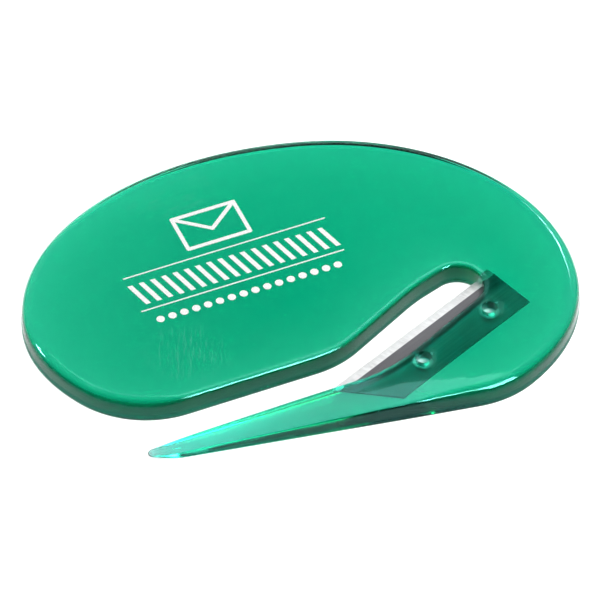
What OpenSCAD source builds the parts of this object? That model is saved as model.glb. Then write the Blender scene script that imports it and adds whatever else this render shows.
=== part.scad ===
// Hand letter opener: a flat oval moulded in clear green plastic, with a tapered
// finger that slides under an envelope's flap and a steel blade across its slot.
// The underside lies on z = 0, x runs along the printed lines, and the finger is
// on the front, -y side.

/* [Oval plate] */
// Thickness of the plate
plate_t = 3.8; // [3.2:0.1:5]
// Centre of the oval, left to right
oval_x = 3; // [2:0.1:4]
// Centre of the oval, front to back
oval_y = -2.75; // [-4:0.05:-2]
// Reach of the oval from its centre towards its right end
oval_right = 36.7; // [35:0.1:38]
// Reach of the oval from its centre towards its left end
oval_left = 43.3; // [41:0.1:45]
// Reach of the oval from its centre towards its back
oval_back = 31.5; // [30:0.1:33]
// Reach of the oval from its centre towards its front
oval_front = 27.1; // [26:0.1:28]
// Turn of the oval's long axis, clockwise from above
oval_turn = 17; // [16:0.25:19]

/* [Slot] */
// Back wall of the straight entry
entry_back = -14.15; // [-15:0.05:-14]
// Front wall of the straight entry, along the finger
entry_front = -19.75; // [-20:0.05:-19.5]
// Extra depth that the entry gains before it turns along the blade
entry_flare = 0.1; // [0.05:0.05:0.8]
// Place where the back wall turns from the entry, left to right
back_turn_x = 0.75; // [0:0.05:2]
// Angle at which the back wall first climbs
back_rise = 26.5; // [25:0.5:29]
// Angle of the back wall where it meets the round end
back_ease = 17; // [14:0.5:20]
// Angle at which the front wall climbs beside the blade
slot_climb = 25; // [23:0.5:26]
// Radius of the slot's round end
slot_end_r = 3.5; // [3.3:0.05:3.7]
// Centre of the round end, left to right
slot_end_x = 21.2; // [20.5:0.05:22]
// Centre of the round end, front to back
slot_end_y = -8.7; // [-9:0.05:-8.5]
// Radius of the back wall's bend out of the entry
back_bend_r = 16; // [6:1:20]
// Radius of the long curve that eases the back wall into the round end
back_curve_r = 24; // [10:1:30]
// Radius of the bend in the front wall
front_bend_r = 24; // [8:1:28]

/* [Finger] */
// Tip of the finger, left to right
tip_x = -31.3; // [-32.5:0.1:-31]
// Radius of the tip, seen from above
tip_r = 0.7; // [0.6:0.1:0.9]
// Width of the finger where it leaves the plate
finger_w = 6.8; // [6.6:0.1:7.2]
// Angle between the finger's two edges
finger_angle = 8.6; // [8.3:0.1:8.9]
// Angle at which the nose's front edge turns in to the tip
nose_angle = 23; // [20:0.5:26]
// Slope of the upper and lower faces, which thin the finger towards its tip
finger_slope = 3.15; // [2.5:0.05:3.3]
// Further slope of both faces over the nose
nose_slope = 3; // [0:0.5:3]

/* [Blade] */
// Thickness of the blade
blade_t = 0.4; // [0.3:0.05:0.5]
// Width of the blade from its cutting edge to its back
blade_w = 8.9; // [8:0.1:9.2]
// Length of the cutting edge
blade_len = 33; // [31:0.1:34]
// How far the slanted end leans along the blade
blade_slant = 6.5; // [5:0.1:8]
// How far the other end leans along the blade
blade_lean = 0.6; // [0:0.1:1]
// Angle of the blade to the printed lines
blade_turn = 22.5; // [22:0.5:24]
// Start of the cutting edge, left to right
blade_x = -3.8; // [-4:0.1:-3.5]
// Start of the cutting edge, front to back
blade_y = -19.35; // [-19.5:0.05:-19.2]
// Width of the bevel ground along the cutting edge
bevel_w = 1.5; // [0.9:0.1:2]

/* [Pin holes] */
// Diameter of the holes left by the pins that held the blade in the mould
pin_d = 2.2; // [1.5:0.1:2.5]
// Distance of the holes from the line of the cutting edge
pin_inset = 6.1; // [5.8:0.1:6.5]
// Distance of the first hole from the start of the cutting edge
pin_start = 13.4; // [13:0.1:14]
// Distance between the two holes
pin_pitch = 13.6; // [12:0.1:14]

/* [Printing] */
// Thickness of the ink
ink_t = 0.05; // [0.03:0.01:0.1]
// Left end of the printed rules
rule_left = -22.5; // [-24:0.1:-20]
// Length of the rules
rule_len = 31.4; // [28:0.1:33]
// Width of each rule
rule_w = 0.2; // [0.15:0.05:0.4]
// Lower rule, front to back
rule_y = 3.8; // [3:0.1:5]
// Distance between the rules
rule_gap = 6.95; // [6.8:0.05:8]
// Number of slanted bars between the rules
bar_count = 18; // [12:1:20]
// Height of the slanted bars
bar_h = 4.2; // [3:0.1:4.5]
// Width of each slanted bar
bar_w = 0.75; // [0.4:0.05:1]
// How far each bar leans
bar_lean = 1.2; // [0.5:0.1:2]
// Number of dots below the rules
dot_count = 16; // [10:1:18]
// Diameter of each dot
dot_d = 1.2; // [0.6:0.1:1.4]
// Width of the printed envelope
envelope_w = 10.2; // [8:0.1:12]
// Height of the printed envelope
envelope_h = 7; // [5:0.1:8]
// Width of the envelope's lines
envelope_line = 0.6; // [0.4:0.05:0.8]

/* [Hidden] */
$fn = 64;
arc_step = 3;
far = 100;
skim = 0.01;

plastic_colour = [0.07, 0.68, 0.50];
steel_colour = [0.70, 0.72, 0.74];
ink_colour = [0.92, 0.95, 0.94];

// Angles about the oval at which it gives way to the finger and to the slot's mouth
lobe_angle = -41;
mouth_angle = 213;
// Bends of the finger's edges, seen from above
flare_x = -6;
flare_bend_r = 50;
nose_bend_r = 10;
// Creases where the finger's faces start to fall, and start to fall faster
crease = [3, -20];
crease_turn = -39;
nose_x = -26;
// Places of the printed rows
bar_rise = 1.1;
dot_drop = 2.4;
dot_inset = 2;
envelope_y = 12.6;
envelope_fold = 0.4;

// Unit vector at an angle
function heading(a) = [cos(a), sin(a)];
// Angle wrapped to between -180 and 180
function wrap(a) = a - 360 * floor((a + 180) / 360);
// Offset from the oval's centre, turned to lie along its axes
function turned(u, v) =
    [u * cos(oval_turn) + v * sin(oval_turn), v * cos(oval_turn) - u * sin(oval_turn)];
// Reaches of the quarter of the oval that holds angle a
function reach_x(a) = cos(a) > 0 ? oval_right : oval_left;
function reach_y(a) = sin(a) > 0 ? oval_back : oval_front;
// Point of the oval, which is made of four quarter ellipses
function oval(a) = [oval_x, oval_y] + turned(reach_x(a) * cos(a), reach_y(a) * sin(a));
// Angle of travel at the same point, anticlockwise round the oval
function oval_dir(a) =
    let (d = turned(-reach_x(a) * sin(a), reach_y(a) * cos(a)))
    atan2(d.y, d.x);
// Where the line through p at angle a meets the line through q at angle b
function meet(p, a, q, b) =
    p + heading(a) * ((q.x - p.x) * sin(b) - (q.y - p.y) * cos(b)) / sin(b - a);
// Arc of radius r that rounds the corner c, from travelling at angle a to travelling at angle b
function bend(c, a, b, r) =
    let (turn = wrap(b - a),
         side = sign(turn) * 90,
         centre = c - heading(a) * r * tan(abs(turn) / 2) + heading(a + side) * r,
         steps = ceil(abs(turn) / arc_step))
    [for (i = [0:steps]) centre - heading(a + side + turn * i / steps) * r];
// Radius of the bend that rounds the corner c and touches its lines at p's distance
function bend_r(p, c, a, b) = norm(c - p) / tan(abs(wrap(b - a)) / 2);
// How far the finger's upper face has fallen at x, beside the slot
function finger_drop(x) = (x - crease.x) * sin(crease_turn) * tan(finger_slope);

slot_end = [slot_end_x, slot_end_y];
back_wall = slot_end + heading(back_ease + 90) * slot_end_r;
front_wall = slot_end + heading(slot_climb - 90) * slot_end_r;
back_corner = [back_turn_x, entry_back];
back_knee = meet(back_corner, back_rise, back_wall, back_ease);
end_turn = back_ease - slot_climb + 180;
end_steps = ceil(end_turn / (arc_step * 2));
front_corner = meet([0, entry_front - entry_flare], 0, front_wall, slot_climb);
flare_start = [flare_x, entry_front];
flare_run = front_corner - flare_start;
flare_dir = 180 + atan2(flare_run.y, flare_run.x);

tip = [tip_x + tip_r, entry_front - tip_r];
nose_edge = tip + heading(-90 - nose_angle) * tip_r;
finger_edge = [0, entry_front - finger_w];
nose_corner = meet(nose_edge, -nose_angle, finger_edge, -finger_angle);

lobe = oval(lobe_angle);
lobe_dir = oval_dir(lobe_angle);
lobe_corner = meet(finger_edge, -finger_angle, lobe, lobe_dir);
lobe_r = bend_r(lobe, lobe_corner, -finger_angle, lobe_dir);
mouth = oval(mouth_angle);
mouth_dir = oval_dir(mouth_angle);
mouth_corner = meet(mouth, mouth_dir, [0, entry_back], 0);
mouth_r = bend_r(mouth, mouth_corner, mouth_dir, 0);

// Outline of the plate with its slot and its finger, anticlockwise from the front right
outline = [
    for (a = [lobe_angle + arc_step:arc_step:mouth_angle - arc_step / 2]) oval(a),
    each bend(mouth_corner, mouth_dir, 0, mouth_r),
    each bend(back_corner, 0, back_rise, back_bend_r),
    each bend(back_knee, back_rise, back_ease, back_curve_r),
    for (i = [0:end_steps])
        slot_end + heading(back_ease + 90 - end_turn * i / end_steps) * slot_end_r,
    each bend(front_corner, slot_climb + 180, flare_dir, front_bend_r),
    each bend(flare_start, flare_dir, 180, flare_bend_r),
    for (a = [90:arc_step * 4:270 - nose_angle]) tip + heading(a) * tip_r,
    each bend(nose_corner, -nose_angle, -finger_angle, nose_bend_r),
    each bend(lobe_corner, -finger_angle, lobe_dir, lobe_r)
];
xs = [for (p = outline) p.x];
ys = [for (p = outline) p.y];
middle = [(min(xs) + max(xs)) / 2, (min(ys) + max(ys)) / 2];

// Moves the middle of the outline's box to the origin
module centred() {
    translate([-middle.x, -middle.y, 0]) children();
}

// Places its children in the blade's frame: x along the cutting edge, the back at -y
module at_blade() {
    translate([blade_x, blade_y, plate_t / 2]) rotate([0, 0, blade_turn]) children();
}

// The blade before its edge is ground, whose slanted end lies in the finger
module blade_blank() {
    translate([0, 0, -blade_t / 2])
        linear_extrude(blade_t)
            polygon([[0, 0], [blade_slant, -blade_w],
                     [blade_len - blade_lean, -blade_w], [blade_len, 0]]);
}

// Steel ground away above the cutting edge, from the upper face down to the lower one
module bevel() {
    translate([0, 0, blade_t / 2])
        rotate([90, 0, 90])
            linear_extrude(far, center = true)
                polygon([[-bevel_w, 0], [0, skim - blade_t], [skim, skim - blade_t],
                         [skim, skim], [-bevel_w, skim]]);
}

// Holes from both faces of the plate to the blade
module pin_holes() {
    for (i = [0, 1])
        translate([pin_start + i * pin_pitch, -pin_inset, 0])
            cylinder(h = 2 * plate_t, d = pin_d, center = true);
}

// Wedge above an upper face that falls away beyond a crease
module relief(at, turn, slope) {
    translate(at) rotate([0, 0, turn]) rotate([slope, 0, 0])
        translate([-far / 2, -far, 0]) cube([far, far, plate_t]);
}

// What thins the finger from above: a long taper, then a steeper nose
module upper_reliefs() {
    relief([crease.x, crease.y, plate_t], crease_turn, finger_slope);
    relief([nose_x, crease.y, plate_t - finger_drop(nose_x)], -90, finger_slope + nose_slope);
}

// Zone in which the reliefs cut: the finger and its root, short of the plate behind the slot
module finger_zone() {
    translate([-far, -far, -plate_t])
        cube([far + slot_end_x, far + (entry_back + entry_front) / 2, 3 * plate_t]);
}

// Lays flat ink on the plate's upper face
module ink() {
    color(ink_colour) centred() translate([0, 0, plate_t]) linear_extrude(ink_t) children();
}

// Straight printed line from a to b
module stroke(a, b, w) {
    run = b - a;
    translate(a) rotate(atan2(run.y, run.x)) translate([0, -w / 2]) square([norm(run), w]);
}

module body() {
    color(plastic_colour) centred() difference() {
        linear_extrude(plate_t) polygon(outline);
        at_blade() {
            blade_blank();
            pin_holes();
        }
        intersection() {
            finger_zone();
            union() {
                upper_reliefs();
                translate([0, 0, plate_t]) mirror([0, 0, 1]) upper_reliefs();
            }
        }
    }
}

module blade() {
    color(steel_colour) centred() at_blade() difference() {
        blade_blank();
        bevel();
    }
}

module print_rules() {
    ink() for (y = [rule_y, rule_y + rule_gap])
        stroke([rule_left, y], [rule_left + rule_len, y], rule_w);
}

module print_bars() {
    pitch = (rule_len - bar_w - bar_lean) / (bar_count - 1);
    ink() for (i = [0:bar_count - 1])
        translate([rule_left + i * pitch, rule_y + bar_rise])
            polygon([[bar_lean, 0], [bar_w + bar_lean, 0], [bar_w, bar_h], [0, bar_h]]);
}

module print_dots() {
    pitch = (rule_len - 2 * dot_inset) / (dot_count - 1);
    ink() for (i = [0:dot_count - 1])
        translate([rule_left + dot_inset + i * pitch, rule_y - dot_drop]) circle(d = dot_d);
}

module print_envelope() {
    w = envelope_w - envelope_line;
    h = envelope_h - envelope_line;
    corners = [[0, 0], [w, 0], [w, h], [0, h]];
    fold = [w / 2, h * envelope_fold];
    ink() translate([rule_left + (rule_len - w) / 2, envelope_y]) {
        for (i = [0:3]) {
            stroke(corners[i], corners[(i + 1) % 4], envelope_line);
            translate(corners[i]) circle(d = envelope_line);
        }
        for (i = [2, 3]) stroke(corners[i], fold, envelope_line);
        translate(fold) circle(d = envelope_line);
    }
}

body();
blade();
print_envelope();
print_rules();
print_bars();
print_dots();
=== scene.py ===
"""Looks for a hand letter opener: clear green plastic moulded round a steel blade."""

import math

import bmesh
import bpy
import numpy as np
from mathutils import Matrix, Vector
from mathutils.geometry import delaunay_2d_cdt


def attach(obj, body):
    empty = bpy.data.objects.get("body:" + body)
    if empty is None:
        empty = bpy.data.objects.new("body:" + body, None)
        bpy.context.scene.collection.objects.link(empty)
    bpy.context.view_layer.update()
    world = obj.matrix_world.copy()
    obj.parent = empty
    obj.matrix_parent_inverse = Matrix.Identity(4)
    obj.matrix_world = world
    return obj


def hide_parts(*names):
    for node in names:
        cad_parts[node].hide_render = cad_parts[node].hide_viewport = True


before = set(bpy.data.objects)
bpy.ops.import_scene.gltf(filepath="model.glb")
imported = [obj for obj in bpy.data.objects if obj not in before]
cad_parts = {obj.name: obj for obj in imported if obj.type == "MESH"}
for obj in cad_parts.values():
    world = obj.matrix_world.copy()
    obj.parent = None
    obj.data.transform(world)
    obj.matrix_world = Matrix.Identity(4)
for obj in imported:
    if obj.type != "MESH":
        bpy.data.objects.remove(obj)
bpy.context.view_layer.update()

MM = 0.001  # metres in a millimetre

# ---------------------------------------------------------------- shape, in millimetres
# These repeat the CAD part's driving dimensions.
PLATE_T = 3.8
OVAL = {"x": 3, "y": -2.75, "right": 36.7, "left": 43.3, "back": 31.5, "front": 27.1, "turn": 17}
ENTRY_BACK, ENTRY_FRONT, ENTRY_FLARE = -14.15, -19.75, 0.1
BACK_TURN_X, BACK_RISE, BACK_EASE = 0.75, 26.5, 17
SLOT_CLIMB, SLOT_END_R, SLOT_END = 25, 3.5, (21.2, -8.7)
BACK_BEND_R, BACK_CURVE_R, FRONT_BEND_R, FLARE_BEND_R, NOSE_BEND_R = 16, 24, 24, 50, 10
FLARE_X = -6
TIP_X, TIP_R, FINGER_W, FINGER_ANGLE, NOSE_ANGLE = -31.3, 0.7, 6.8, 8.6, 23
FINGER_SLOPE, NOSE_SLOPE, NOSE_X = 3.15, 3, -26
CREASE, CREASE_TURN = (3, -20), -39
LOBE_ANGLE, MOUTH_ANGLE = -41, 213
BLADE_AT, BLADE_TURN = (-3.8, -19.35), 22.5
PIN_D, PIN_INSET, PIN_START, PIN_PITCH = 2.2, 6.1, 13.4, 13.6
BEVEL_W = 1.5

# What only the looks have: rounded edges, a soft roll towards them, draft, a lip
EDGE_R, SLOT_EDGE_R, LOW_EDGE_R = 1.2, 0.6, 0.3
EDGE_STEPS = 8
EDGE_BLEND = 11  # points on each side over which the top edge changes its radius
RIM_SHARE = 0.8  # squared share of the oval's reach beyond which a point is on the rim
FINGER_REACH = 0.4  # how far behind its straight wall the finger's edge begins
LOW_EDGE_SHARE = 0.42  # most of the local thickness that the bottom edge takes up
ROLL_DEPTH, ROLL_WIDTH = 0.14, 4.0
PIN_RIM_R, PIN_RIM_STEPS, PIN_STEP = 0.1, 6, 7.5  # the last in degrees
LIP_H, LIP_STEP, LIP_SHARE = 0.45, 0.06, 0.4  # lip left by the mould along the bottom
DRAFT = 2.5
CREASE_SOFT, NOSE_SOFT = 12.0, 0.1
ARC_STEP = 1.5
END_POINTS = 60
CAD_GAP = 0.01  # keeps the finer arcs inside the CAD part's box
RING_GAP = 0.45  # longest step along the outline
INNER_REACH = 0.6  # how far past the rounded edge the face has rings of its own
WALL_RINGS, FOOT_RINGS, FACE_RINGS = (0, 0.35, 0.7, 1), (0, 0.5, 1), (0.2, 0.5, 1.0)  # shares
ROOM_MOST, ROOM_SHARE = 10.0, 0.9  # most inset, and share of the local width
GRID, GRID_CLEAR = 1.1, 0.55  # points inside the faces: spacing, and share of it kept clear
TINY, SAME_POINT = 1e-4, 1e-7  # shortest step that is kept, and the triangles' tolerance


def vec(x, y):
    return np.array([x, y], float)


def heading(a):
    return vec(math.cos(math.radians(a)), math.sin(math.radians(a)))


def wrap(a):
    """An angle between -180 and 180 degrees."""
    return a - 360 * math.floor((a + 180) / 360)


def turned(u, v):
    """A vector along the oval's own axes, in the plate's."""
    c, s = heading(OVAL["turn"])
    return vec(u * c + v * s, v * c - u * s)


def reach(a):
    """The oval's two half-axes in the quarter that the angle a is in."""
    c, s = heading(a)
    return OVAL["right" if c > 0 else "left"], OVAL["back" if s > 0 else "front"]


def oval(a):
    """Point of the oval, which is made of four quarter ellipses."""
    rx, ry = reach(a)
    c, s = heading(a)
    return vec(OVAL["x"], OVAL["y"]) + turned(rx * c, ry * s)


def oval_dir(a):
    """Direction of the oval at the angle a, anticlockwise."""
    rx, ry = reach(a)
    c, s = heading(a)
    d = turned(-rx * s, ry * c)
    return math.degrees(math.atan2(d[1], d[0]))


def meet(p, a, q, b):
    """Where the line through p at angle a meets the line through q at angle b."""
    p, q = np.asarray(p, float), np.asarray(q, float)
    cb, sb = heading(b)
    return p + heading(a) * ((q[0] - p[0]) * sb - (q[1] - p[1]) * cb) / math.sin(math.radians(b - a))


def bend(c, a, b, r):
    """Arc of radius r that rounds the corner c, from angle a of travel to angle b."""
    turn = wrap(b - a)
    side = math.copysign(90, turn)
    centre = c - heading(a) * r * math.tan(math.radians(abs(turn) / 2)) + heading(a + side) * r
    steps = max(4, math.ceil(abs(turn) / ARC_STEP))
    return [centre - heading(a + side + turn * i / steps) * r for i in range(steps + 1)]


def bend_r(p, c, a, b):
    """Radius of the arc that starts at p and rounds the corner c."""
    return np.linalg.norm(c - p) / math.tan(math.radians(abs(wrap(b - a)) / 2))


def plate_outline():
    """The plate's outline, anticlockwise round its middle, and where that middle is."""
    end = vec(*SLOT_END)
    back_wall = end + heading(BACK_EASE + 90) * SLOT_END_R
    front_wall = end + heading(SLOT_CLIMB - 90) * SLOT_END_R
    back_corner = vec(BACK_TURN_X, ENTRY_BACK)
    back_knee = meet(back_corner, BACK_RISE, back_wall, BACK_EASE)
    front_corner = meet((0, ENTRY_FRONT - ENTRY_FLARE), 0, front_wall, SLOT_CLIMB)
    flare_start = vec(FLARE_X, ENTRY_FRONT)
    run = front_corner - flare_start
    flare_dir = 180 + math.degrees(math.atan2(run[1], run[0]))
    tip = vec(TIP_X + TIP_R, ENTRY_FRONT - TIP_R)
    nose_edge = tip + heading(-90 - NOSE_ANGLE) * TIP_R
    finger_edge = vec(0, ENTRY_FRONT - FINGER_W)
    nose_corner = meet(nose_edge, -NOSE_ANGLE, finger_edge, -FINGER_ANGLE)
    lobe, lobe_dir = oval(LOBE_ANGLE), oval_dir(LOBE_ANGLE)
    lobe_corner = meet(finger_edge, -FINGER_ANGLE, lobe, lobe_dir)
    mouth, mouth_dir = oval(MOUTH_ANGLE), oval_dir(MOUTH_ANGLE)
    mouth_corner = meet(mouth, mouth_dir, (0, ENTRY_BACK), 0)
    arc = np.arange(LOBE_ANGLE + ARC_STEP / 2, MOUTH_ANGLE, ARC_STEP / 2)
    end_turn = np.linspace(BACK_EASE + 90, SLOT_CLIMB - 90, END_POINTS)
    tip_turn = np.arange(90, 270 - NOSE_ANGLE, ARC_STEP * 6)
    points = [oval(a) for a in arc]
    points += bend(mouth_corner, mouth_dir, 0, bend_r(mouth, mouth_corner, mouth_dir, 0))
    points += bend(back_corner, 0, BACK_RISE, BACK_BEND_R)
    points += bend(back_knee, BACK_RISE, BACK_EASE, BACK_CURVE_R)
    points += [end + heading(a) * SLOT_END_R for a in end_turn]
    points += bend(front_corner, SLOT_CLIMB + 180, flare_dir, FRONT_BEND_R)
    points += bend(flare_start, flare_dir, 180, FLARE_BEND_R)
    points += [tip + heading(a) * TIP_R for a in tip_turn]
    points += bend(nose_corner, -NOSE_ANGLE, -FINGER_ANGLE, NOSE_BEND_R)
    points += bend(lobe_corner, -FINGER_ANGLE, lobe_dir,
                   bend_r(lobe, lobe_corner, -FINGER_ANGLE, lobe_dir))
    fine = []
    for p, q in zip(points, points[1:] + points[:1]):
        steps = max(1, math.ceil(np.linalg.norm(q - p) / RING_GAP))
        fine += [p + (q - p) * i / steps for i in range(steps) if np.linalg.norm(q - p) > TINY]
    fine = np.array(fine)
    middle = (fine.min(0) + fine.max(0)) / 2
    return fine - middle, middle


outline, MIDDLE = plate_outline()


def soft_max(a, b, width):
    """The larger of two numbers, blended over a width."""
    return 0.5 * (a + b + np.sqrt((a - b) ** 2 + width ** 2))


def ease(t, width):
    """t without its negative part, bent over a width instead of sharply."""
    bent = (t + width / 2) ** 2 / (2 * width)
    return np.where(t < -width / 2, 0, np.where(t > width / 2, t, bent))


def fall(p):
    """How far each face of the finger falls towards the mid-plane at the points p."""
    q = np.atleast_2d(p) + MIDDLE
    down = heading(CREASE_TURN - 90)
    slope = math.tan(math.radians(FINGER_SLOPE))
    taper = ease((q - vec(*CREASE)) @ down, CREASE_SOFT) * slope
    nose_fall = (NOSE_X - CREASE[0]) * math.sin(math.radians(CREASE_TURN)) * slope
    nose = nose_fall + (NOSE_X - q[:, 0]) * math.tan(math.radians(FINGER_SLOPE + NOSE_SLOPE))
    drop = soft_max(taper, nose, NOSE_SOFT)
    in_finger = (q[:, 1] < (ENTRY_BACK + ENTRY_FRONT) / 2) & (q[:, 0] < SLOT_END[0])
    return np.where(in_finger, np.maximum(drop, 0), 0)


def edge_distance(p):
    """Distance of the points p from the outline."""
    best = np.full(len(p), np.inf)
    for start, run in zip(outline, np.roll(outline, -1, 0) - outline):
        t = np.clip(((p - start) @ run) / (run @ run), 0, 1)
        best = np.minimum(best, np.linalg.norm(p - start - t[:, None] * run, axis=1))
    return best


def roll(d):
    """How far the faces sink at the distance d from the outline."""
    return ROLL_DEPTH * np.exp(-d / ROLL_WIDTH)


def edge_radius(ring):
    """Radius of the top edge along the outline, which is smaller round the slot and the finger."""
    q = ring + MIDDLE
    c, s = heading(OVAL["turn"])
    x, y = q[:, 0] - OVAL["x"], q[:, 1] - OVAL["y"]
    u, v = x * c - y * s, x * s + y * c
    rx = np.where(u > 0, OVAL["right"], OVAL["left"])
    ry = np.where(v > 0, OVAL["back"], OVAL["front"])
    inner = (u / rx) ** 2 + (v / ry) ** 2 < RIM_SHARE
    behind = (q[:, 1] > (ENTRY_BACK + ENTRY_FRONT) / 2) | (q[:, 0] > 0)
    finger = (q[:, 1] < ENTRY_FRONT + FINGER_REACH) & (q[:, 0] < 0)
    radius = np.where(finger | inner & behind, SLOT_EDGE_R, EDGE_R)
    window = np.hanning(2 * EDGE_BLEND + 1)
    padded = np.concatenate([radius[-EDGE_BLEND:], radius, radius[:EDGE_BLEND]])
    return np.convolve(padded, window / window.sum(), "valid")


def inward(ring):
    """Unit normals of a closed ring, pointing inwards."""
    run = np.roll(ring, -1, 0) - ring
    n = np.stack([-run[:, 1], run[:, 0]], 1)
    n /= np.linalg.norm(n, axis=1)[:, None]
    m = n + np.roll(n, 1, 0)
    return m / np.linalg.norm(m, axis=1)[:, None]


def pin_centres():
    """Centres of the two pin holes."""
    c, s = heading(BLADE_TURN)
    out = []
    for i in range(2):
        x, y = PIN_START + i * PIN_PITCH, -PIN_INSET
        out.append(vec(*BLADE_AT) + vec(x * c - y * s, x * s + y * c) - MIDDLE)
    return out


def face_points(ring, holes):
    """Points and triangles that fill a ring round the holes. The ring's points come first."""
    lo, hi = ring.min(0), ring.max(0)
    rows = np.arange(lo[1], hi[1], GRID * math.sqrt(3) / 2)
    grid = np.array([vec(x + (j % 2) * GRID / 2, y) for j, y in enumerate(rows)
                     for x in np.arange(lo[0], hi[0], GRID)])
    loops = [ring] + holes
    fixed = np.vstack(loops)
    grid = grid[inside(grid, ring)]
    near = np.array([np.min(np.linalg.norm(fixed - g, axis=1)) for g in grid])
    grid = grid[near > GRID * GRID_CLEAR]
    for hole in holes:
        grid = grid[~inside(grid, hole)]
    points = np.vstack([fixed, grid])
    edges, start = [], 0
    for loop in loops:
        n = len(loop)
        edges += [(start + i, start + (i + 1) % n) for i in range(n)]
        start += n
    verts, _, faces, _, _, _ = delaunay_2d_cdt([Vector(p) for p in points], edges, [], 0, SAME_POINT)
    verts = np.array([tuple(v) for v in verts])
    faces = np.array([f for f in faces if len(f) == 3])
    centre = verts[faces].mean(1)
    keep = inside(centre, ring)
    for hole in holes:
        keep &= ~inside(centre, hole)
    return verts, faces[keep]


def inside(p, ring):
    """Which of the points p lie inside a closed ring."""
    x, y = p[:, 0], p[:, 1]
    odd = np.zeros(len(p), bool)
    for (ax, ay), (bx, by) in zip(ring, np.roll(ring, -1, 0)):
        if ay == by:
            continue
        crosses = (ay > y) != (by > y)
        odd ^= crosses & (x < (bx - ax) * (y - ay) / (by - ay) + ax)
    return odd


def local_width(ring, n_in):
    """How far each point of a ring may move inwards before it meets the ring's other side."""
    out = np.empty(len(ring))
    for i, (p, n) in enumerate(zip(ring, n_in)):
        d = ring - p
        along = d @ n
        ahead = along > TINY
        # radius of the circle that touches p and passes through each other point
        radius = (d * d).sum(1)[ahead] / (2 * along[ahead])
        out[i] = radius.min(initial=ROOM_MOST / ROOM_SHARE)
    return out


def side_rings(side, half, room):
    """Rings from the mid-plane to a face, side 1 or -1: [(height from the mid-plane, inset)]."""
    slope = math.tan(math.radians(DRAFT))
    low_edge = np.minimum(LOW_EDGE_R, LOW_EDGE_SHARE * 2 * half)
    # known fault: this is below 0 at the finger's tip, where the low rings fold over each other
    low_reach = half - low_edge - roll(0)
    lip = np.minimum(LIP_H, low_reach * LIP_SHARE)
    above = low_reach - lip
    foot_in = CAD_GAP + LIP_STEP  # inset of the wall just above the lip
    if side > 0:
        edge = edge_radius(outline) * (2 * half / PLATE_T) ** 2
        wall = half - edge - roll(0)
        mid_in = foot_in + above * slope
        rings = [(wall * share, mid_in + wall * share * slope) for share in WALL_RINGS]
    else:
        edge = low_edge
        rings = [(above * share, foot_in + above * (1 - share) * slope) for share in FOOT_RINGS]
        rings.append((above + np.minimum(LIP_STEP, lip * LIP_SHARE), np.full(len(half), CAD_GAP)))
        rings.append((low_reach, np.full(len(half), CAD_GAP)))
    z0, in0 = rings[-1]
    for i in range(1, EDGE_STEPS + 1):
        a = math.radians(90 * i / EDGE_STEPS)
        rings.append((z0 + edge * math.sin(a), in0 + edge * (1 - math.cos(a))))
    in1 = rings[-1][1]
    span = np.minimum(INNER_REACH, 0.5 * (room - in1))
    for share in FACE_RINGS:
        rings.append((half - roll(in1 + span * share), in1 + span * share))
    return rings


def build_body():
    """The moulded plate as one mesh, with rounded edges and pin holes."""
    n_in = inward(outline)
    half = PLATE_T / 2 - fall(outline)
    mid = PLATE_T / 2
    # where the finger is narrow the rings stay short of its middle; known fault: they don't stay
    # clear of the pin holes, and a small gap is left where the last one crosses the first hole's rim
    room = np.minimum(ROOM_MOST, local_width(outline, n_in) * ROOM_SHARE)
    verts, faces = [], []

    def add(points, z):
        """Adds points at the height z and returns their numbers."""
        start = len(verts)
        for (x, y), height in zip(points, np.broadcast_to(z, len(points))):
            verts.append((x * MM, y * MM, height * MM))
        return np.arange(start, len(verts))

    def join(low, high):
        """Adds a band of faces between two loops."""
        for a, b, c, d in zip(low, np.roll(low, -1), np.roll(high, -1), high):
            faces.append((a, b, c, d))

    turns = np.radians(np.arange(0, 360, PIN_STEP))
    circle = np.stack([np.cos(turns), np.sin(turns)], 1)
    centres = pin_centres()
    middle = None
    hole_ends = []
    for side in (1, -1):
        rings = side_rings(side, half, room)
        if middle is None:
            middle = add(outline + n_in * rings[0][1][:, None], mid)
        last = middle
        for z, inset in rings[1:]:
            ring = add(outline + n_in * inset[:, None], mid + side * z)
            join(*(last, ring)[::side])
            last = ring

        # the face inside the last ring, open at the pin holes
        ring = outline + n_in * rings[-1][1][:, None]
        rims = [c + circle * (PIN_D / 2 + PIN_RIM_R) for c in centres]
        points, triangles = face_points(ring, rims)
        z = PLATE_T / 2 - fall(points) - roll(edge_distance(points))
        known = len(ring)
        for i, (x, y), height in zip(last, points, mid + side * z[:known]):
            verts[i] = (x * MM, y * MM, height * MM)
        index = np.concatenate([last, add(points[known:], mid + side * z[known:])])
        for t in triangles:
            p, q, r = points[t]
            area = np.cross(q - p, r - p)
            faces.append(tuple(index[t] if (area > 0) == (side > 0) else index[t][::-1]))

        # rounded rims down into the holes
        ends = []
        for k, c in enumerate(centres):
            start = known + k * len(circle)
            last = index[start:start + len(circle)]
            top = PLATE_T / 2 - roll(edge_distance(c[None])[0])
            for i in range(1, PIN_RIM_STEPS + 1):
                a = math.radians(90 * i / PIN_RIM_STEPS)
                r = PIN_D / 2 + PIN_RIM_R * (1 - math.sin(a))
                z = top - PIN_RIM_R * (1 - math.cos(a))
                ring = add(c + circle * r, mid + side * z)
                join(*(ring, last)[::side])
                last = ring
            ends.append(last)
        hole_ends.append(ends)
    for upper, lower in zip(*hole_ends):
        join(lower, upper)

    mesh = bpy.data.meshes.new("moulded_body")
    mesh.from_pydata(verts, [], [tuple(int(i) for i in f) for f in faces])
    bm = bmesh.new()
    bm.from_mesh(mesh)
    bmesh.ops.recalc_face_normals(bm, faces=bm.faces)
    bm.to_mesh(mesh)
    bm.free()
    mesh.shade_smooth()
    obj = bpy.data.objects.new("moulded_body", mesh)
    bpy.context.scene.collection.objects.link(obj)
    return obj


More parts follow.
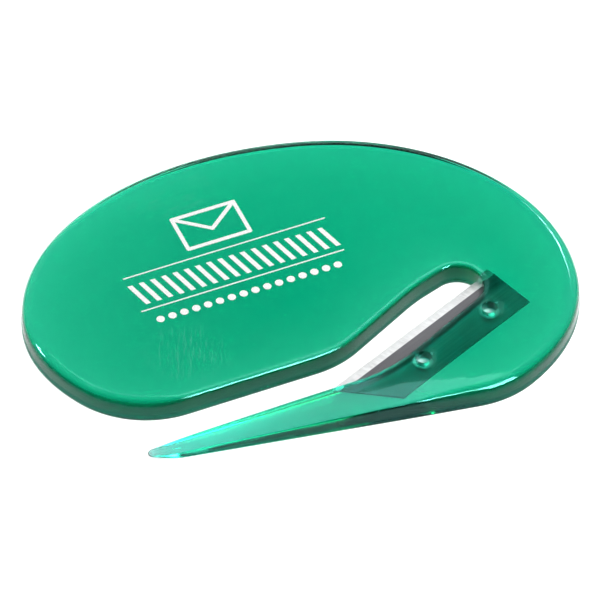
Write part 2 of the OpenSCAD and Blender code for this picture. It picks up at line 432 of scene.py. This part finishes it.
# ---------------------------------------------------------------- materials
ABSORPTION = (1.4, 0.185, 0.325)  # per millimetre of plastic: red, green, blue
PLASTIC_IOR, PLASTIC_TINT = 1.45, (0.27, 0.97, 0.92, 1)
UNDER_ROUGH, FINGER_UNDER_ROUGH, WALL_ROUGH, FACE_ROUGH = 0.4, 0.1, 0.1, 0.03
WEAR_ROUGH, SCUFF_ROUGH = 0.04, 0.5  # how much wear and scuffs add to the face
# Scuffed places on the face: middle, reach, direction in degrees, how sparse
SCUFFED = ((-20, -7), 8, 67, 0.595), ((-10, 25), 9, 12, 0.61)
RELIEF = 0.02  # depth of the plastic's flow lines, waves and scuffs
STEEL_RELIEF, INK_RELIEF = 0.004, 0.004
BLADE_WAY = math.radians(BLADE_TURN)
FINGER_WAY = math.radians(-FINGER_ANGLE / 2)
# Darkest and lightest steel: under the plastic, in the slot, and on the ground edge; the flats are
# painted shade, darker than steel and darkest in the slot, and the ground edge is partly a painted
# highlight
SHADED_COVERED_STEEL = (0.1, 0.103, 0.105, 1), (0.14, 0.143, 0.145, 1)
SHADED_BARE_STEEL = (0.05, 0.05, 0.054, 1), (0.075, 0.075, 0.08, 1)
GROUND_STEEL_AND_HIGHLIGHT = (0.5, 0.505, 0.51, 1), (0.76, 0.765, 0.77, 1)
PIN_HOLE_LIT_STEEL, PIN_HOLE_ROUGH = (0.7, 0.71, 0.72, 1), 0.65  # where the mould's pins held it: steel at the pin holes' bottoms, painted pale as painted light so it looks lit
INK_TONES = (0.25, 0.25, 0.245, 1), (0.29, 0.29, 0.285, 1)
MIDDLING = 0.3, 0.7  # range that holds most of a noise


class Nodes:
    """Builds one node tree; positions are in millimetres."""

    def __init__(self, tree):
        self.nodes, self.links = tree.nodes, tree.links

    def add(self, kind, inputs=(), **settings):
        """A new node, with each input linked to a socket or set to a value."""
        node = self.nodes.new(kind)
        for name, value in settings.items():
            setattr(node, name, value)
        for name, value in dict(inputs).items():
            if isinstance(value, bpy.types.NodeSocket):
                self.links.new(value, node.inputs[name])
            else:
                node.inputs[name].default_value = value
        return node

    def place(self, at=(0, 0), turn=0.0, stretch=(1, 1, 1)):
        """Position in a frame at a point, turned, in units of stretch millimetres."""
        coord = self.add("ShaderNodeTexCoord").outputs["Object"]
        return self.add("ShaderNodeMapping", {
            "Vector": coord,
            "Location": (at[0] * MM, at[1] * MM, 0),
            "Rotation": (0, 0, turn),
            "Scale": tuple(v * MM for v in stretch)}, vector_type="TEXTURE").outputs["Vector"]

    def axes(self, vector):
        return self.add("ShaderNodeSeparateXYZ", {"Vector": vector}).outputs

    def noise(self, vector, detail=2.0, scale=1.0):
        return self.add("ShaderNodeTexNoise", {
            "Vector": vector, "Scale": scale, "Detail": detail}).outputs["Fac"]

    def span(self, value, low, high, to_low=0.0, to_high=1.0, kind="LINEAR"):
        return self.add("ShaderNodeMapRange", {
            "Value": value, "From Min": low, "From Max": high,
            "To Min": to_low, "To Max": to_high}, interpolation_type=kind).outputs["Result"]

    def vary(self, noise, to_low, to_high):
        """A number that follows a noise from one value to another."""
        return self.span(noise, *MIDDLING, to_low, to_high)

    def distance(self, at, stretch):
        """Distance from a point, in units of stretch millimetres."""
        return self.add("ShaderNodeVectorMath", {0: self.place(at=at, stretch=stretch)},
                        operation="LENGTH").outputs["Value"]

    def math(self, operation, a, b=0.0):
        node = self.add("ShaderNodeMath", operation=operation)
        for socket, value in zip(node.inputs, (a, b)):
            if isinstance(value, bpy.types.NodeSocket):
                self.links.new(value, socket)
            else:
                socket.default_value = value
        return node.outputs["Value"]

    def blend(self, share, a, b):
        """a where the share is 0, b where it is 1."""
        return self.add("ShaderNodeMix", {"Factor": share, "A": a, "B": b}).outputs["Result"]

    def colours(self, share, a, b):
        node = self.add("ShaderNodeMix", data_type="RGBA")
        for socket, value in zip((node.inputs[0], node.inputs[6], node.inputs[7]), (share, a, b)):
            if isinstance(value, bpy.types.NodeSocket):
                self.links.new(value, socket)
            else:
                socket.default_value = value
        return node.outputs[2]

    def bump(self, height, depth, strength=1.0):
        """Normal of a surface whose height runs from 0 to depth, in millimetres."""
        return self.add("ShaderNodeBump", {
            "Height": height, "Distance": depth * MM, "Strength": strength}).outputs["Normal"]


def new_material(name):
    """A material, the builder of its nodes and its shader."""
    mat = bpy.data.materials.new(name)
    mat.use_nodes = True
    return mat, Nodes(mat.node_tree), mat.node_tree.nodes["Principled BSDF"]


def set_inputs(build, shader, values):
    """Links each of a shader's named inputs to a socket, or sets it to a value."""
    for name, value in values.items():
        if isinstance(value, bpy.types.NodeSocket):
            build.links.new(value, shader.inputs[name])
        else:
            shader.inputs[name].default_value = value


def scratches(build, turn, seed, least, length=9.0):
    """Sparse fine marks that run along one direction: 0 or 1."""
    grain = build.place(at=(seed, -seed), turn=turn, stretch=(length, 0.13, 8))
    return build.span(build.noise(grain, detail=1.0), least, least + 0.03)


def plastic():
    mat, build, shader = new_material("green_plastic")
    height = build.axes(build.place())["Z"]
    along = build.axes(build.place(at=vec(TIP_X, ENTRY_FRONT) - MIDDLE, turn=FINGER_WAY))
    # 1 on the finger, 0 on the plate
    on_finger = build.math("MULTIPLY",
                           build.span(along["X"], 42, 30, kind="SMOOTHSTEP"),
                           build.span(along["Y"], 3.2, 2.6))
    # satin underside, smoother lower wall, polished face with fine scuffs
    scuffs = build.math("MULTIPLY", scratches(build, 0.3, 11.0, 0.72), 0.12)
    for at, reach_of, turn, least in SCUFFED:
        near = build.span(build.distance(at, (reach_of,) * 3), 1.0, 0.6)
        marks = build.math("MULTIPLY", near, scratches(build, math.radians(turn), 5.0, least, 2.2))
        scuffs = build.math("MAXIMUM", scuffs, marks)
    worn = build.noise(build.place(stretch=(6, 6, 6)), detail=4.0)
    face = build.math("ADD", build.vary(worn, FACE_ROUGH, FACE_ROUGH + WEAR_ROUGH),
                      build.math("MULTIPLY", scuffs, SCUFF_ROUGH))
    wall = build.vary(worn, WALL_ROUGH - WEAR_ROUGH * 0.75, WALL_ROUGH + WEAR_ROUGH * 0.75)
    side = build.blend(build.span(height, 1.8, 1.9), wall, face)
    under = build.blend(on_finger, UNDER_ROUGH, FINGER_UNDER_ROUGH)
    rough = build.blend(build.span(height, 0.3, 0.02), side, under)
    # moulding flow along the finger, and faint waves everywhere
    flow = build.noise(build.place(turn=FINGER_WAY, stretch=(14, 0.45, 4)), detail=3.0)
    waves = build.noise(build.place(stretch=(5, 3, 3)), detail=1.0)
    relief = build.math("ADD", build.math("MULTIPLY", build.math("MULTIPLY", flow, on_finger), 0.35),
                        build.math("MULTIPLY", waves, 0.6))
    relief = build.math("SUBTRACT", relief, build.math("MULTIPLY", scuffs, 0.02))
    set_inputs(build, shader, {
        "Base Color": (1, 1, 1, 1), "IOR": PLASTIC_IOR, "Transmission Weight": 1.0,
        "Specular Tint": PLASTIC_TINT, "Roughness": rough,
        "Normal": build.bump(relief, RELIEF)})
    strongest = max(ABSORPTION)
    absorb = build.add("ShaderNodeVolumeAbsorption", {
        "Color": tuple(1 - v / strongest for v in ABSORPTION) + (1,),
        "Density": strongest / MM})
    build.links.new(absorb.outputs["Volume"], mat.node_tree.nodes["Material Output"].inputs["Volume"])
    return mat


def steel():
    mat, build, shader = new_material("blade_steel")
    at = vec(*BLADE_AT) - MIDDLE
    across = build.axes(build.place(at=at, turn=BLADE_WAY))["Y"]
    ground = build.span(across, -BEVEL_W - 0.03, -BEVEL_W + 0.03)
    # grinding lines square to the edge, rolling lines along it
    grind = build.noise(build.place(at=at, turn=BLADE_WAY, stretch=(0.12, 3, 1)), detail=2.0)
    rolled = build.noise(build.place(at=at, turn=BLADE_WAY, stretch=(12, 0.1, 1)), detail=2.0)
    blot = build.noise(build.place(stretch=(3, 3, 3)), detail=4.0)
    rough = build.blend(ground, build.vary(blot, 0.32, 0.42), build.vary(grind, 0.4, 0.5))
    covered, bare = (build.colours(build.vary(rolled, 0, 1), *tones)
                     for tones in (SHADED_COVERED_STEEL, SHADED_BARE_STEEL))
    # painted shade: one steel in two tones, darker where it lies bare in the slot than under the
    # plastic
    tone = build.colours(build.span(across, -4.4, -3.4), covered, bare)
    # painted light: pale steel at the bottoms of the pin holes, where the mould's pins held it, so that
    # it looks lit
    lit_pin_hole = 0.0
    for centre in pin_centres():
        away = build.distance(centre, (1, 1, 100))
        lit_pin_hole = build.math("MAXIMUM", lit_pin_hole, build.span(away, 1.6, 1.0))
    tone = build.colours(lit_pin_hole, tone, PIN_HOLE_LIT_STEEL)
    rough = build.blend(lit_pin_hole, rough, PIN_HOLE_ROUGH)
    # the ground edge is lighter from its grinding and from a painted highlight
    edge = build.colours(build.vary(grind, 0, 1), *GROUND_STEEL_AND_HIGHLIGHT)
    set_inputs(build, shader, {
        "Base Color": build.colours(ground, tone, edge), "Metallic": 1.0, "Roughness": rough,
        "Normal": build.bump(build.blend(ground, rolled, grind), STEEL_RELIEF)})
    return mat


def ink():
    mat, build, shader = new_material("ink")
    grain = build.noise(build.place(stretch=(0.25, 0.25, 0.25)), detail=2.0)
    set_inputs(build, shader, {
        "Base Color": build.colours(build.span(grain, 0.35, 0.65), *INK_TONES),
        "Roughness": build.vary(grain, 0.42, 0.6),
        "Normal": build.bump(grain, INK_RELIEF)})
    return mat


def paint(node, mat):
    """Gives a CAD node's own mesh a material."""
    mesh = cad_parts[node].data
    mesh.materials.clear()
    mesh.materials.append(mat)


body = build_body()
body.data.materials.append(plastic())
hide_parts("body")
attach(body, "root")
paint("blade", steel())
white = ink()
for node in ("print_envelope", "print_rules", "print_bars", "print_dots"):
    paint(node, white)

# ---------------------------------------------------------------- floor, camera, light
FLOOR_REACH, FLOOR_Z = 3000, -0.03
FLOOR_TONE = (0.2, 0.2, 0.2, 1)
GLOW_AT, GLOW_REACH = (-9, -1), (40, 30, 30)  # an oval on the floor, which counts as 1 away
SHADED_UNDER_GLOW, RIM_GLOW = 0.83, 0.96  # under the middle of the part, where the lower glow is painted shade, and at its rims
FLOOR_FADE, FAR_GLOW = (2.0, 5.0), 0.35  # where the glowing sheet ends, and what is left there
SHADE_BACK = 0.7  # how far the shade under the finger lies behind it
SHADE_SPREAD = 0.09  # how fast the shade widens along the finger
TIP_SHADE, FINGER_SHADE = 0.28, 0.48  # share of the glow left under the tip and the finger
AZIMUTH, ELEVATION, DISTANCE = -23.1, 46.3, 0.9
AIM = Vector((-0.05 - MIDDLE[0], -1.1 - MIDDLE[1], 1.75)) * MM
SENSOR, FRAME_WIDTH, CLIP = 36, 0.0857, 0.01
# Dark places in the room, in degrees: azimuth, elevation, dark within, bright beyond
DARK_PATCHES = (AZIMUTH + 90, ELEVATION, 0.2, 5), (59, 36, 4, 12)
ROOM_FRONT, ROOM_BACK, ROOM_LOW = 0.1, 1.25, 0.15  # brightness: front, back, share near the floor
LIGHT_DISTANCE = 0.8
# Softboxes, in degrees: azimuth, elevation, width, height, radiance
SOFTBOXES = {
    "key": (-61, 42, 26, 32, 45), "side": (140, 33, 8, 10, 80), "right": (49, 38, 7, 8, 50),
    "horizon": (80, 8, 26, 8, 3), "over": (68, 60, 30, 16, 3.3)}


def add_floor():
    """Floor that glows white, like a light sheet, under the part, with painted shade where the glow is
    dimmed under the part's middle and under the finger.
    """
    mesh = bpy.data.meshes.new("floor")
    corners = ((-1, -1), (1, -1), (1, 1), (-1, 1))
    mesh.from_pydata([(x * FLOOR_REACH * MM, y * FLOOR_REACH * MM, FLOOR_Z * MM) for x, y in corners],
                     [], [(0, 1, 2, 3)])
    floor = bpy.data.objects.new("floor", mesh)
    bpy.context.scene.collection.objects.link(floor)
    mat, build, shader = new_material("floor")
    away = build.distance(GLOW_AT, GLOW_REACH)
    # painted shade: the floor glows less under the middle of the part than at its rims
    glow = build.span(away, 0.1, 0.9, SHADED_UNDER_GLOW, RIM_GLOW, "SMOOTHSTEP")
    at = vec(TIP_X, ENTRY_FRONT + SHADE_BACK) - MIDDLE
    below = build.axes(build.place(at=at, turn=FINGER_WAY))
    beside = build.math("SUBTRACT", build.math("ABSOLUTE", below["Y"]),
                        build.math("MULTIPLY", below["X"], SHADE_SPREAD))
    shade = build.math("MULTIPLY", build.span(below["X"], 46, 26, kind="SMOOTHSTEP"),
                       build.span(beside, 1.3, 0.3, kind="SMOOTHSTEP"))
    shade = build.math("MULTIPLY", shade, build.span(below["X"], 0, 2))
    left = build.span(below["X"], 2, 12, TIP_SHADE, FINGER_SHADE)
    glow = build.math("MULTIPLY", glow, build.blend(shade, 1.0, left))
    far = build.span(away, *FLOOR_FADE, 1.0, FAR_GLOW, "SMOOTHSTEP")
    set_inputs(build, shader, {
        "Base Color": FLOOR_TONE, "Roughness": 1.0, "Specular IOR Level": 0.0,
        "Emission Color": (1, 1, 1, 1), "Emission Strength": build.math("MULTIPLY", glow, far)})
    mesh.materials.append(mat)


def way_to(azimuth, elevation):
    """Unit vector towards an azimuth, anticlockwise from +x, and an elevation."""
    c, s = heading(azimuth)
    k, z = heading(elevation)
    return Vector((c * k, s * k, z))


def add_camera(back):
    """Camera on the side that the vector back points to, aimed at the part's middle."""
    data = bpy.data.cameras.new("camera")
    data.sensor_width = SENSOR
    data.lens = SENSOR * DISTANCE / FRAME_WIDTH
    data.clip_start = CLIP
    cam = bpy.data.objects.new("camera", data)
    bpy.context.scene.collection.objects.link(cam)
    cam.location = AIM + back * DISTANCE
    cam.rotation_euler = back.to_track_quat("Z", "Y").to_euler()
    bpy.context.scene.camera = cam


def softbox(name, azimuth, elevation, width, height, radiance):
    """An area light that faces the part. Its sizes are in degrees."""
    way = way_to(azimuth, elevation)
    data = bpy.data.lights.new(name, "AREA")
    data.shape = "RECTANGLE"
    data.size = 2 * LIGHT_DISTANCE * math.tan(math.radians(width / 2))
    data.size_y = 2 * LIGHT_DISTANCE * math.tan(math.radians(height / 2))
    data.energy = radiance * math.pi * data.size * data.size_y
    lamp = bpy.data.objects.new(name, data)
    bpy.context.scene.collection.objects.link(lamp)
    lamp.location = AIM + way * LIGHT_DISTANCE
    lamp.rotation_euler = way.to_track_quat("Z", "Y").to_euler()


def add_studio():
    """Soft room, brighter towards the back, with two dark patches and a few softboxes."""
    world = bpy.data.worlds.new("studio")
    bpy.context.scene.world = world
    world.use_nodes = True
    build = Nodes(world.node_tree)
    way = build.add("ShaderNodeTexCoord").outputs["Generated"]

    def towards(direction):
        return build.add("ShaderNodeVectorMath", {0: way, 1: direction},
                         operation="DOT_PRODUCT").outputs["Value"]

    patch = 1.0
    for azimuth, elevation, inner, outer in DARK_PATCHES:
        off = build.math("ARCCOSINE", towards(way_to(azimuth, elevation)))
        patch = build.math("MULTIPLY", patch, build.span(off, math.radians(inner), math.radians(outer)))
    back = towards(way_to(AZIMUTH + 90, 0))
    glow = build.span(back, -0.3, 0.8, ROOM_FRONT, ROOM_BACK, "SMOOTHSTEP")
    low = build.span(build.axes(way)["Z"], 0.1, 0.3, ROOM_LOW, 1.0, "SMOOTHSTEP")
    glow = build.math("MULTIPLY", glow, low)
    sky = world.node_tree.nodes["Background"]
    set_inputs(build, sky, {"Color": (1, 1, 1, 1), "Strength": build.math("MULTIPLY", glow, patch)})
    for name, sizes in SOFTBOXES.items():
        softbox(name, *sizes)


add_floor()
add_camera(way_to(AZIMUTH - 90, ELEVATION))
add_studio()
bpy.context.scene.view_settings.view_transform = "Standard"
